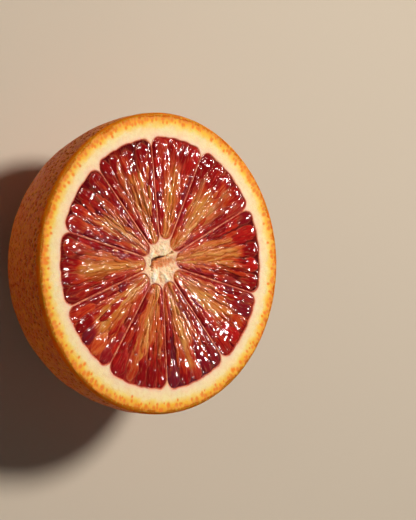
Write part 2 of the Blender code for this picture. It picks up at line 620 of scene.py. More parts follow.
def mottling_group() -> bpy.types.NodeTree:
    """A node group for the fine spongy mottling that the rind and the pith share.

    Returns:
        A group that turns a place into a colour shade and a height.
    """
    tree = bpy.data.node_groups.new("plant_mottling", "ShaderNodeTree")
    tree.interface.new_socket("Place", in_out="INPUT", socket_type="NodeSocketVector")
    tree.interface.new_socket("Scale", in_out="INPUT", socket_type="NodeSocketFloat")
    tree.interface.new_socket("Shade", in_out="OUTPUT", socket_type="NodeSocketFloat")
    tree.interface.new_socket("Height", in_out="OUTPUT", socket_type="NodeSocketFloat")
    kit = NodeKit(tree)
    entry = tree.nodes.new("NodeGroupInput")
    leave = tree.nodes.new("NodeGroupOutput")
    place, scale = entry.outputs["Place"], entry.outputs["Scale"]
    broad = kit.clouds(place, scale, 3.0, 0.6)
    fine = kit.clouds(place, kit.math("MULTIPLY", scale, 4.0), 2.0, 0.55)
    shade = kit.math("ADD", kit.math("MULTIPLY", broad, 0.7), kit.math("MULTIPLY", fine, 0.3))
    kit.feed(leave.inputs["Shade"], shade)
    kit.feed(leave.inputs["Height"], kit.math("ADD", kit.math("MULTIPLY", broad, 0.35), fine))
    return tree


@dataclass(frozen=True)
class RindFinish:
    """Waxy orange rind with dimples over its oil glands."""

    mottling: bpy.types.NodeTree
    mottling_scale: float = 700.0
    blush_scale: float = 48.0
    # Lighter orange on the raised spots of the mottling: partly the rind's own mottling, partly a painted
    # highlight on its bumps
    speckle_and_highlight: Colour = (250, 156, 44)
    # Painted shade: a darker orange-brown down in the dimples
    painted_pit_shade: Colour = (150, 40, 3)
    scar_brown: Colour = (122, 84, 48)
    # The rounded lip: the zest's own orange, made brighter as a painted glow of light through the peel
    lip_zest_and_glow: Colour = (250, 116, 6)

    def build(self) -> bpy.types.Material:
        """Makes the material.

        Returns:
            The finish, which reads the rind's pit, rim and scar.
        """
        material, kit, shader = new_finish("waxy_rind")
        place = kit.add("TexCoord").outputs["Object"]
        pit, rim = kit.measure("pit"), kit.measure("rim")
        mottled = kit.group(self.mottling, Place=place, Scale=self.mottling_scale)
        shade = mottled.outputs["Shade"]
        base = kit.ramp(
            kit.clouds(place, self.blush_scale, 3.0, 0.6),
            {0.30: (240, 116, 8), 0.52: (228, 92, 5), 0.72: (206, 66, 4)},
        )
        # Painted highlight: the raised mottled spots are made lighter, over the rind's own mottling
        mottled_and_highlighted = kit.mix(kit.step(shade, 0.42, 0.62, 0.0, 0.6), base, self.speckle_and_highlight)
        # Painted shade in the dimples over the oil glands
        pit_shaded = kit.mix(kit.math("MULTIPLY", pit, 0.60), mottled_and_highlighted, self.painted_pit_shade)
        scarred = kit.mix(kit.measure("scar"), pit_shaded, self.scar_brown)
        # Painted glow: the lip near the cut edge turns bright orange, partly its zest colour
        kit.feed(shader.inputs["Base Color"], kit.mix(rim, scarred, self.lip_zest_and_glow))
        kit.feed(shader.inputs["Roughness"], kit.step(shade, 0.3, 0.7, 0.40, 0.56))
        kit.feed(shader.inputs["Specular IOR Level"], kit.step(rim, 0.0, 0.8, 0.24, 0.05))
        kit.feed(shader.inputs["Subsurface Weight"], kit.step(rim, 0.0, 0.6, 0.5, 1.0))
        shader.inputs["Subsurface Radius"].default_value = (1.0, 0.30, 0.05)
        shader.inputs["Subsurface Scale"].default_value = 0.0045
        raised = kit.math("MULTIPLY", mottled.outputs["Height"], 0.5)
        height = kit.math("SUBTRACT", raised, kit.math("MULTIPLY", pit, 0.8))
        bump = kit.add("Bump", Strength=1.0, Distance=0.00050, Height=height)
        kit.feed(shader.inputs["Normal"], bump.outputs["Normal"])
        return material


@dataclass(frozen=True)
class CutPeelFinish:
    """The cut through zest, pith, membranes and core."""

    mottling: bpy.types.NodeTree
    mottling_scale: float = 900.0
    zest_depth: float = 6.5
    gland_orange: Colour = (246, 128, 0)
    juice_red: Colour = (176, 40, 26)
    blush_pink: Colour = (252, 206, 178)
    # Painted shade: tan-brown in the core's hollows, its frayed tissue and its split
    painted_hollow_shade: Colour = (218, 130, 76)
    # Painted shadow: dark brown down in the split that the knife opened
    painted_split_shadow: Colour = (84, 34, 14)
    lump_white: Colour = (255, 246, 220)
    spongy_tan: Colour = (230, 160, 104)

    def build(self) -> bpy.types.Material:
        """Makes the material.

        Returns:
            The finish, which reads the cut peel's depths, glands and core.
        """
        material, kit, shader = new_finish("cut_pith")
        place = kit.add("TexCoord").outputs["Object"]
        mottled = kit.group(self.mottling, Place=place, Scale=self.mottling_scale)
        wander = kit.math("MULTIPLY", kit.math("SUBTRACT", kit.clouds(place, 480.0, 3.0), 0.5), 2.3)
        depth = kit.math("ADD", kit.measure("skin_depth"), wander)
        zest = kit.ramp(
            kit.math("MULTIPLY", depth, 1.0 / self.zest_depth),
            {
                0.00: (238, 112, 6),
                0.06: (246, 142, 12),
                0.20: (246, 166, 22),
                0.32: (250, 192, 50),
                0.44: (252, 214, 112),
                0.57: (252, 224, 164),
                0.80: (253, 227, 180),
                1.00: (252, 220, 178),
            },
        )
        gland = kit.mix(kit.math("MULTIPLY", kit.measure("gland"), 0.95), zest, self.gland_orange)
        gap = kit.measure("flesh_gap")
        patchy = kit.clouds(place, 420.0, 3.0, 0.6)
        stained = self._stained(kit, gap, patchy, gland)
        # Painted shade in the core's hollows
        hollow_shaded = kit.mix(kit.measure("hollow_shade"), stained, self.painted_hollow_shade)
        # Painted shadow in the split
        split_shadowed = kit.mix(kit.step(kit.measure("split"), 0.35, 1.0), hollow_shaded, self.painted_split_shadow)
        pale = kit.mix(kit.measure("lump"), split_shadowed, self.lump_white)
        spongy = kit.step(mottled.outputs["Shade"], 0.34, 0.60, 0.22, 0.0)
        kit.feed(shader.inputs["Base Color"], kit.mix(spongy, pale, self.spongy_tan))
        kit.feed(shader.inputs["Roughness"], kit.step(gap, 0.0, 1.2, 0.26, 0.6))
        shader.inputs["Specular IOR Level"].default_value = 0.18
        shader.inputs["Subsurface Weight"].default_value = 0.5
        shader.inputs["Subsurface Radius"].default_value = (1.0, 0.5, 0.25)
        shader.inputs["Subsurface Scale"].default_value = 0.0012
        bump = kit.add("Bump", Strength=0.5, Distance=0.00010, Height=mottled.outputs["Height"])
        kit.feed(shader.inputs["Normal"], bump.outputs["Normal"])
        return material

    def _stained(self, kit: NodeKit, gap: Socket, patchy: Socket, dry: Socket) -> Socket:
        """The pith's colour with the juice that has run into it from the flesh.

        Args:
            kit: adds the nodes.
            gap: how far the flesh is, in millimetres.
            patchy: noise that breaks the stain up.
            dry: the colour without juice.

        Returns:
            The stained colour.
        """
        stain = kit.ramp(
            gap,
            {
                0.00: (194, 66, 46),
                0.10: (220, 104, 72),
                0.26: (238, 152, 120),
                0.50: (248, 198, 162),
                1.00: (253, 220, 184),
            },
        )
        thin = kit.math("MULTIPLY", kit.step(gap, 0.16, 0.5, 1.0, 0.0), kit.step(patchy, 0.40, 0.56))
        juicy = kit.mix(kit.math("MULTIPLY", thin, 0.85), stain, self.juice_red)
        near = kit.math("ADD", gap, kit.math("MULTIPLY", patchy, -0.5))
        blush = kit.math(
            "MULTIPLY", kit.step(gap, 0.3, 2.4, 0.55, 0.0), kit.step(patchy, 0.36, 0.60, 0.35, 1.0)
        )
        blushing = kit.mix(blush, dry, self.blush_pink)
        return kit.mix(kit.step(near, 0.0, 1.0, 1.0, 0.0), blushing, juicy)


@dataclass(frozen=True)
class PulpFinish:
    """Wet, translucent juice sacs, from deep crimson to amber."""

    # Dark purple on some sacs: partly their own colour, partly a painted sheen of reflection
    purple_sheen_colour: Colour = (104, 34, 48)
    wall_pink: Colour = (222, 118, 74)
    # Pale streaks along the sacs: partly their own thin walls, partly painted glints
    thread_and_glint_pink: Colour = (232, 158, 106)

    def build(self) -> bpy.types.Material:
        """Makes the material.

        Returns:
            The finish, which reads the pulp's grain and what its sacs stored.
        """
        material, kit, shader = new_finish("wet_pulp")
        grain = kit.add("UVMap", {"uv_map": "grain"}).outputs["UV"]
        fine = kit.clouds(self._stretched(kit, grain, 0.30, 2.2), 1.0, 4.0, 0.62)
        thin = kit.clouds(self._stretched(kit, grain, 0.35, 4.2), 1.0, 2.0)
        drift = kit.math("SUBTRACT", fine, 0.5)
        share = kit.math("ADD", kit.measure("amber"), drift)
        lifted = self._juice(kit, share, drift)
        # Painted sheen: some sacs turn purple as if reflecting, partly their own dark purple
        sheen_share = kit.math("MULTIPLY", kit.measure("purple_sheen"), kit.step(fine, 0.32, 0.62, 0.25, 1.0))
        sheened = kit.mix(sheen_share, lifted, self.purple_sheen_colour)
        wall = kit.math("MULTIPLY", kit.measure("wall"), kit.step(share, 0.05, 0.7, 0.12, 0.6))
        walled = kit.mix(wall, sheened, self.wall_pink)
        # Partly the sacs' thin walls, partly painted glint streaks
        threads_and_glints = kit.math(
            "MULTIPLY", kit.step(thin, 0.57, 0.70, 0.0, 0.65), kit.step(share, 0.2, 0.7, 0.25, 1.0)
        )
        kit.feed(shader.inputs["Base Color"], kit.mix(threads_and_glints, walled, self.thread_and_glint_pink))
        kit.feed(shader.inputs["Roughness"], kit.step(fine, 0.3, 0.7, 0.05, 0.12))
        shader.inputs["IOR"].default_value = 1.36
        shader.inputs["Coat Weight"].default_value = 0.5
        shader.inputs["Coat Roughness"].default_value = 0.07
        height = kit.math("ADD", fine, kit.math("MULTIPLY", thin, 0.4))
        bump = kit.add("Bump", Strength=0.25, Distance=0.00016, Height=height)
        kit.feed(shader.inputs["Normal"], bump.outputs["Normal"])
        return material

    @staticmethod
    def _juice(kit: NodeKit, share: Socket, drift: Socket) -> Socket:
        """The juice's colour: darker towards a sac's edge, a painted shade, and lighter where the light
        sinks in, a painted glow.

        Args:
            kit: adds the nodes.
            share: how amber the juice is.
            drift: noise about zero.

        Returns:
            The colour.
        """
        deep = kit.ramp(
            share,
            {
                0.00: (134, 8, 12),
                0.20: (166, 26, 16),
                0.40: (186, 58, 22),
                0.60: (192, 80, 28),
                0.80: (200, 106, 38),
                1.00: (210, 132, 54),
            },
        )
        # Painted shade: a darker copy of the juice's colours, for the edges of the sacs
        shade = kit.ramp(
            share, {0.0: (78, 2, 8), 0.4: (124, 14, 10), 0.8: (156, 64, 20), 1.0: (178, 94, 38)}
        )
        # Painted light: a lighter copy, for sacs that look lit through
        lit = kit.ramp(
            share, {0.0: (196, 30, 22), 0.35: (214, 78, 36), 0.75: (220, 130, 62), 1.0: (232, 164, 96)}
        )
        body = kit.math("ADD", kit.measure("body"), kit.math("MULTIPLY", drift, 0.5))
        shaded = kit.mix(kit.step(body, 0.15, 0.75, 0.85, 0.0), deep, shade)
        # Which sacs get the painted light: chosen at random for each sac, broken up by noise
        bright = kit.math("ADD", kit.measure("tone"), kit.math("MULTIPLY", drift, 1.2))
        return kit.mix(kit.step(bright, 0.45, 1.05, 0.0, 0.75), shaded, lit)

    @staticmethod
    def _stretched(kit: NodeKit, grain: Socket, along: float, across: float) -> Socket:
        """A place on the pulp, squeezed so that a texture there makes streaks along the sacs."""
        return kit.add("Mapping", Vector=grain, Scale=(along, across, 1.0)).outputs["Vector"]


# ---------------------------------------------------------------------------------------------
# The rind
# ---------------------------------------------------------------------------------------------


@dataclass
class Rind:
    """The orange outside of the fruit: a dimpled dome, closed below the cut face."""

    plan: FruitPlan
    gland_count: int = 6000
    gland_jitter: float = 0.0085
    pit_depth: float = 0.24
    pit_radius: float = 0.50
    scar_radius: float = 1.6
    scar_height: float = 0.35

    RIM_STEPS = 6
    # How the dome goes on under the cut peel: (inset past the rounded rim, height)
    UNDERLAP = ((0.6, -0.12), (1.0, -1.8))
    # The first glands lie a little above the fruit's middle, on a ball of radius one
    GLANDS_TOP = 0.06

    def build(self, finish: bpy.types.Material) -> None:
        """Makes the dome and dresses it.

        Args:
            finish: the rind's material.
        """
        builder = bmesh.new()
        bmesh.ops.create_icosphere(builder, subdivisions=8, radius=1.0)
        everything = builder.verts[:] + builder.edges[:] + builder.faces[:]
        bmesh.ops.bisect_plane(
            builder,
            geom=everything,
            dist=MERGE,
            plane_co=(0.0, 0.0, (self.plan.cut_offset - self.plan.rim_round) / self.plan.dome_radius),
            plane_no=(0.0, 0.0, 1.0),
            clear_outer=True,
        )
        self._close_top(builder)
        mesh = mesh_from(builder, "rind")
        places = positions(mesh)
        self._shape(mesh, places)
        add_piece("rind", mesh, finish)

    def _close_top(self, builder: bmesh.types.BMesh) -> None:
        """Rounds the rim over to the cut face and closes the dome inside the fruit.

        Args:
            builder: the open dome, on a ball of radius one.
        """
        plan = self.plan
        turns = [math.radians(90.0 * step / self.RIM_STEPS) for step in range(1, self.RIM_STEPS + 1)]
        rings = [
            (plan.rim_round * (1.0 - math.cos(turn)), plan.rim_round * (math.sin(turn) - 1.0))
            for turn in turns
        ]
        rings += [(plan.rim_round + inset, height) for inset, height in self.UNDERLAP]
        edges = [edge for edge in builder.edges if edge.is_boundary]
        for inset, height in rings:
            made = bmesh.ops.extrude_edge_only(builder, edges=edges)["geom"]
            edges = [item for item in made if isinstance(item, bmesh.types.BMEdge)]
            for vertex in (item for item in made if isinstance(item, bmesh.types.BMVert)):
                flat = vertex.co.xy.normalized() * (plan.face_radius - inset)
                vertex.co = Vector((flat.x, flat.y, plan.cut_offset + height)) / plan.dome_radius
        bmesh.ops.holes_fill(builder, edges=edges, sides=0)

    def _shape(self, mesh: bpy.types.Mesh, places: np.ndarray) -> None:
        """Brings the dome to its size and presses the dimples in.

        Args:
            mesh: the mesh to finish.
            places: its vertices on a ball of radius one.
        """
        plan = self.plan
        outside = np.abs(np.linalg.norm(places, axis=1) - 1.0) < 1e-4
        sized = places * plan.dome_radius
        sized[:, :2] = self._uneven_dome(sized)
        distance = self._pit_distances(places) * plan.dome_radius
        pit = 1.0 - smoothstep(distance, 0.05, self.pit_radius)
        broad = cloudiness(sized, 11.0, 2, 3.0) * 0.16 + cloudiness(sized, 3.2, 2, 9.0) * 0.08
        below = plan.cut_offset - sized[:, 2]
        reach = np.hypot(sized[:, 0], sized[:, 1])
        scar = 1.0 - smoothstep(reach, self.scar_radius - 0.5, self.scar_radius)
        scar *= sized[:, 2] < 0.0
        sunk = broad * smoothstep(below, 0.2, 3.0) - pit * self.pit_depth * smoothstep(below, 0.0, 0.8)
        sized += places * (sunk * outside)[:, None]
        sized[:, 2] = np.maximum(sized[:, 2] + FACE_HEIGHT - plan.cut_offset, 0.0)
        sized[:, 2] += scar * self.scar_height * (0.6 + 0.4 * pit)
        set_positions(mesh, sized * MM)
        add_measure(mesh, "pit", np.where(outside, pit, 0.0))
        # How near the cut edge each point lies, which gives the lip its painted glow in the finish
        add_measure(mesh, "rim", 1.0 - smoothstep(below, 0.3, 1.5))
        add_measure(mesh, "scar", scar)

    def _uneven_dome(self, sized: np.ndarray) -> np.ndarray:
        """Makes the dome follow the fruit's uneven outline.

        Args:
            sized: the dome's vertices in millimetres.

        Returns:
            Their new x and y.
        """
        reach = np.hypot(sized[:, 0], sized[:, 1])
        share = (reach / self.plan.face_radius)[:, None]
        direction = sized[:, :2] / np.maximum(reach, TINY)[:, None]
        rim = self.plan.uneven(direction * self.plan.face_radius)
        return rim * share

    def _pit_distances(self, places: np.ndarray) -> np.ndarray:
        """Spreads the oil glands evenly over the dome and measures from them.

        Args:
            places: the vertices, on a ball of radius one.

        Returns:
            How far each vertex is from the nearest gland.
        """
        rng = np.random.default_rng(7)
        index = np.arange(self.gland_count) + 0.5
        height = self.GLANDS_TOP - (1.0 + self.GLANDS_TOP) * index / self.gland_count
        turn = index * math.pi * (1.0 + math.sqrt(5.0))
        flat = np.sqrt(1.0 - height**2)
        glands = np.column_stack([np.cos(turn) * flat, np.sin(turn) * flat, height])
        glands += rng.normal(0.0, self.gland_jitter, glands.shape)
        tree = KDTree(len(glands))
        for number, gland in enumerate(glands):
            tree.insert(Vector(gland), number)
        tree.balance()
        return np.array([tree.find(Vector(place))[2] for place in places])


# ---------------------------------------------------------------------------------------------
# Zest, pith, membranes and core, seen on the cut face
# ---------------------------------------------------------------------------------------------


@dataclass
class CutPeel:
    """The cut through the peel: zest with its glands, pith, the membranes and the torn core."""

    plan: FruitPlan
    outlines: Sequence[SegmentOutline]
    web_spacing: float = 0.17
    ring_spacing: float = 0.23
    thickness: float = 3.0
    rim_inset: float = 0.35
    core_radius: float = 7.5
    gland_dent: float = 0.05
    flesh_dent: float = 0.14

    # The sheet's outer edge below, as a share of the one above, so that it stays in the dome
    TAPER = 0.97
    # How far the finer triangles go on past the flesh
    WEB_MARGIN = 1.0
    # Rows of cut oil glands: (depth below the rind, spread, spacing, radius), how far they stray
    # along a row as a share of the spacing, and their radii as shares of the row's
    GLAND_ROWS = ((0.75, 0.22, 1.05, 0.48), (1.50, 0.40, 1.40, 0.58), (2.25, 0.40, 2.8, 0.40))
    GLAND_STRAY = 0.38
    GLAND_SIZES = (0.65, 1.25)
    GLANDS_END = 4.0
    # How much further a gland reaches inwards than sideways, and how soft its edge is
    GLAND_STRETCH = 0.75
    GLAND_EDGE = 0.80
    # Lumps of white tissue in the core: (x, y, half length, half width, degrees, height)
    LUMPS = (
        (-3.6, 2.3, 1.1, 0.50, 70.0, 0.70),
        (-4.0, 0.2, 1.0, 0.60, 90.0, 0.40),
        (-2.9, -3.2, 1.6, 0.95, 78.0, 0.85),
        (0.6, -3.6, 1.6, 0.50, -52.0, 0.70),
        (2.6, -1.9, 1.6, 0.45, -16.0, 0.40),
        (0.2, 3.7, 1.2, 0.80, 80.0, 0.50),
        (2.6, 3.2, 1.5, 0.35, 20.0, 0.30),
    )
    # Hollows between them: (x, y, half length, half width, degrees, depth)
    HOLLOWS = (
        (-1.6, 0.0, 1.6, 0.90, 14.0, 1.00),
        (1.2, 0.5, 2.8, 0.95, 10.0, 0.60),
        (2.2, -1.0, 1.6, 0.16, -12.0, 0.35),
        (-1.1, -3.4, 1.7, 0.28, 95.0, 0.40),
        (-2.5, 3.0, 1.5, 0.30, -48.0, 0.30),
        (1.9, -3.2, 1.2, 0.22, -60.0, 0.25),
    )
    # How fast both fall away
    STEEPNESS = 1.2
    # The split that the knife opened: points along it
    SPLIT = ((-3.5, -1.3), (-3.2, 0.2), (-2.8, 1.0), (-1.8, 1.05), (0.0, 1.5), (1.3, 1.85), (3.0, 2.7))
    SPLIT_DEPTH = 1.4
    SPLIT_WIDTH = 0.18
    # Where it narrows, from its wide left end to its right end
    SPLIT_TAPER = (-2.5, 3.2)
    # The core's torn shapes, coarse and fine: (size, strength, how far they move x and y)
    RAGGED = (1.0, 0.40, (0.9, -0.9))
    FRAYED = (0.45, 0.5, (0.7, 0.75))
    # How high the lumps stand, how deep the hollows lie, and how rough both are
    CORE_RELIEF = (0.55, 0.6, 0.22, 0.13)

    def build(self, finish: bpy.types.Material) -> None:
        """Makes the piece and dresses it.

        Args:
            finish: the cut peel's material.
        """
        builder = self._sheet()
        self._thicken(builder)
        mesh = mesh_from(builder, "cut_peel")
        self._shape(mesh)
        add_piece("cut_peel", mesh, finish, ["peel_and_membranes"])

    def _flesh_gap(self, points: np.ndarray) -> np.ndarray:
        """How far each point is from the nearest pocket, negative inside one."""
        gaps = [-outline.margin(outline.to_local(points)) for outline in self.outlines]
        return np.min(gaps, axis=0)

    def _sheet(self) -> bmesh.types.BMesh:
        """The flat cut face.

        Returns:
            A sheet of fine triangles with ten holes.
        """
        rim = self.plan.face_radius - self.rim_inset
        turn = np.linspace(0.0, math.tau, int(math.tau * rim / self.ring_spacing), endpoint=False)
        circle = np.column_stack([np.cos(turn), np.sin(turn)]) * rim
        loops = [circle] + [outline.outline(0.0, self.web_spacing) for outline in self.outlines]
        web = honeycomb(rim, self.web_spacing, 1)
        ring = honeycomb(rim, self.ring_spacing, 2)
        border = self.plan.pocket_radius + self.WEB_MARGIN
        web = web[np.hypot(web[:, 0], web[:, 1]) < border]
        reach = np.hypot(ring[:, 0], ring[:, 1])
        clear = self.ring_spacing * CLEAR
        ring = ring[(reach > border + clear) & (reach < rim - clear)]
        web = web[self._flesh_gap(web) > self.web_spacing * CLEAR]

        def keep(middles: np.ndarray) -> np.ndarray:
            """Drops the triangles that would close a pocket."""
            return self._flesh_gap(middles) > 0.0

        return fine_sheet(loops, np.concatenate([web, ring]), keep)

    def _thicken(self, builder: bmesh.types.BMesh) -> None:
        """Takes the sheet's edges down and closes it below.

        Args:
            builder: the sheet.
        """
        edges = [edge for edge in builder.edges if edge.is_boundary]
        made = bmesh.ops.extrude_edge_only(builder, edges=edges)["geom"]
        low = [item for item in made if isinstance(item, bmesh.types.BMVert)]
        bmesh.ops.translate(builder, vec=(0.0, 0.0, -self.thickness), verts=low)
        outer = [v for v in low if v.co.xy.length > self.plan.face_radius - 1.0]
        shrink = Matrix.Diagonal((self.TAPER, self.TAPER, 1.0)).to_4x4()
        bmesh.ops.transform(builder, matrix=shrink, verts=outer)
        edges = [item for item in made if isinstance(item, bmesh.types.BMEdge)]
        bmesh.ops.triangle_fill(builder, use_beauty=True, edges=edges, normal=(0.0, 0.0, -1.0))

    def _shape(self, mesh: bpy.types.Mesh) -> None:
        """Gives the cut its relief and its measures, and brings it to its place.

        Args:
            mesh: the flat mesh to finish.
        """
        places = positions(mesh)
        flat = places[:, :2]
        reach = np.hypot(flat[:, 0], flat[:, 1])
        gap = np.maximum(self._flesh_gap(flat), 0.0)
        skin = np.maximum(self.plan.face_radius - reach, 0.0)
        gland = self._glands(flat)
        core, lump, hollow_shade, split = self._core(flat, gap)
        inner = 1.0 - smoothstep(reach, 4.5, 8.0)
        height = cloudiness(spatial(flat), 3.5, 2, 5.0) * 0.06
        height += cloudiness(spatial(flat), 0.8, 2, 8.0) * 0.025 + core
        height -= self.flesh_dent * (1.0 - smoothstep(gap, 0.0, 0.28)) * (1.0 - 0.5 * inner)
        height -= self.gland_dent * gland
        height *= smoothstep(skin, self.rim_inset, self.plan.rim_round)
        height -= self.plan.rim_drop(skin) - 0.015
        places[:, 2] += np.where(on_top(places), height, 0.0) + FACE_HEIGHT
        places[:, :2] = self.plan.uneven(flat)
        set_positions(mesh, places * MM)
        add_measure(mesh, "skin_depth", skin)
        add_measure(mesh, "flesh_gap", gap + 0.14 * inner)
        add_measure(mesh, "gland", gland)
        add_measure(mesh, "lump", lump)
        # Painted shade for the core's hollows
        add_measure(mesh, "hollow_shade", hollow_shade)
        add_measure(mesh, "split", split)

    def _glands(self, flat: np.ndarray) -> np.ndarray:
        """Scatters cut oil glands in rows under the rind.

        Args:
            flat: x and y on the cut face.

        Returns:
            How much each point lies in a gland, 0 to 1.
        """
        rng = np.random.default_rng(21)
        rim = self.plan.face_radius
        dots = []
        for depth, spread, spacing, size in self.GLAND_ROWS:
            count = int(math.tau * rim / spacing)
            stray = rng.uniform(-self.GLAND_STRAY, self.GLAND_STRAY, count)
            turn = (np.arange(count) + stray) / count * math.tau
            away = rim - depth + rng.normal(0.0, spread, count)
            sizes = size * rng.uniform(*self.GLAND_SIZES, count)
            dots.append(np.column_stack([np.cos(turn) * away, np.sin(turn) * away, sizes]))
        dots = np.concatenate(dots)
        tree = KDTree(len(dots))
        for number, (x, y, _) in enumerate(dots):
            tree.insert((x, y, 0.0), number)
        tree.balance()
        reach = np.hypot(flat[:, 0], flat[:, 1])
        outward = flat / np.maximum(reach, TINY)[:, None]
        depths = np.zeros(len(flat))
        for index in np.flatnonzero(reach > rim - self.GLANDS_END):
            _, nearest, distance = tree.find((flat[index, 0], flat[index, 1], 0.0))
            along = float((flat[index] - dots[nearest, :2]) @ outward[index])
            across = math.sqrt(max(distance**2 - along**2, 0.0))
            away = math.hypot(along * self.GLAND_STRETCH, across)
            depths[index] = 1.0 - away / dots[nearest, 2] * self.GLAND_EDGE
        return smoothstep(depths, 0.0, 0.7)

    def _core(self, flat: np.ndarray, gap: np.ndarray) -> tuple[np.ndarray, ...]:
        """The torn tissue in the middle.

        Args:
            flat: x and y on the cut face.
            gap: distance to the nearest pocket.

        Returns:
            Each point's height, how white a lump it is, how much painted shade darkens it in a hollow,
            and how deep in the split it lies.
        """
        near = np.hypot(flat[:, 0], flat[:, 1]) < self.core_radius
        ragged = np.zeros(len(flat))
        frayed = np.zeros(len(flat))
        size, strength, ragged_move = self.RAGGED
        ragged[near] = cloudiness(spatial(flat[near]), size, 3, 4.0) * strength
        size, strength, frayed_move = self.FRAYED
        frayed[near] = cloudiness(spatial(flat[near]), size, 3, 14.0) * strength
        moved = flat + ragged[:, None] * ragged_move + frayed[:, None] * frayed_move
        lumps = np.zeros(len(flat))
        hollows = np.zeros(len(flat))
        for x, y, length, width, angle, rise in self.LUMPS:
            lumps += rise * mound(moved, (x, y), length, width, math.radians(angle), self.STEEPNESS)
        for x, y, length, width, angle, fall in self.HOLLOWS:
            hollows += fall * mound(moved, (x, y), length, width, math.radians(angle), self.STEEPNESS)
        distance = np.full(len(flat), np.inf)
        for start, end in zip(self.SPLIT, self.SPLIT[1:]):
            a, b = np.array(start), np.array(end)
            along = np.clip(((moved - a) @ (b - a)) / ((b - a) @ (b - a)), 0.0, 1.0)
            distance = np.minimum(distance, np.linalg.norm(moved - a - along[:, None] * (b - a), axis=1))
        taper = self.SPLIT_WIDTH * (1.5 - smoothstep(flat[:, 0], *self.SPLIT_TAPER))
        taper *= 1.0 + ragged * 1.5
        split = (1.0 - smoothstep(distance, taper * 0.4, taper * 2.0)) * near
        core = smoothstep(gap, 0.05, 0.5) * near
        rise, fall, rough, fine = self.CORE_RELIEF
        height = (lumps * rise - hollows * fall + ragged * rough + frayed * fine) * core
        height -= split * self.SPLIT_DEPTH
        white = smoothstep(lumps - hollows + ragged * 0.5, 0.20, 0.70) * core
        # Painted shade: darker where the tissue lies low in a hollow, is frayed, and in the split
        hollow_shade = np.clip(smoothstep(hollows - lumps, -0.15, 0.60) + frayed * 0.7 + split * 0.5, 0.0, 1.0) * core
        return height, white, hollow_shade, split


# ---------------------------------------------------------------------------------------------
# The pulp
# ---------------------------------------------------------------------------------------------


class SacKind(Enum):
    """Where a juice sac lies in its segment. Its value is how much more amber than usual it is."""

    # With its wide end against the pith
    OUTER = -0.12
    # Between the tails of the outer ones
    INNER = 0.0
    # Along a membrane
    SIDE = -0.38


@dataclass(frozen=True)
class Sac:
    """One juice sac, a rounded teardrop with its wide end outwards, in millimetres."""

    x: float
    y: float
    heading: float
    length: float
    width: float
    crest: float
    bend: float
    ripple: float
    phase: float
    amber: float
    # How strongly the sac gets the painted glow of light through it
    tone: float
    # How much purple and painted sheen the sac gets
    purple_sheen: float

    # How strongly the sac narrows towards its tail, how high its back ripples, how tall it is
    # at no width and how much taller for each millimetre of width, and its height beside it
    TAPER = 0.9
    RIPPLE = 0.05
    BULGE = (0.12, 0.32)
    OUTSIDE = -2.0

    def girth(self, along: np.ndarray) -> np.ndarray:
        """How wide the sac is along its length.

        Args:
            along: places from its tail, -1, to its wide end, 1.

        Returns:
            The width at each place as a share of the most.
        """
        widest = self.TAPER / (1.0 + self.TAPER)
        most = math.sqrt(1.0 - widest**2) * ((1.0 + widest) / 2.0) ** self.TAPER
        shape = np.sqrt(np.maximum(1.0 - along**2, 0.0))
        return shape * (np.clip(1.0 + along, 0.0, 2.0) / 2.0) ** self.TAPER / most

    def cover(self, local: np.ndarray) -> tuple[np.ndarray, np.ndarray]:
        """The sac's surface over each point.

        Args:
            local: x and y along the segment's axes, one row for each point.

        Returns:
            The height, very low outside the sac, and how near the crest each point lies.
        """
        c, s = math.cos(self.heading), math.sin(self.heading)
        half = self.length / 2.0
        middle = (self.x - half * c, self.y - half * s)
        along = (local[:, 0] - middle[0]) * c + (local[:, 1] - middle[1]) * s
        across = (local[:, 1] - middle[1]) * c - (local[:, 0] - middle[0]) * s
        across -= self.bend * (along**2 - half**2 * 0.3)
        girth = self.girth(along / half)
        ratio = 1.0 - (across / np.maximum(self.width * girth, TINY)) ** 2
        inside = (ratio > 0.0) & (girth > 0.02)
        closeness = np.sqrt(np.maximum(ratio, 0.0))
        bulge = self.BULGE[0] + self.BULGE[1] * self.width
        wave = self.RIPPLE * np.sin(along * math.tau / self.ripple + self.phase)
        height = self.crest - bulge + bulge * closeness * girth**0.55 + wave
        return np.where(inside, height, self.OUTSIDE), np.where(inside, closeness, 0.0)


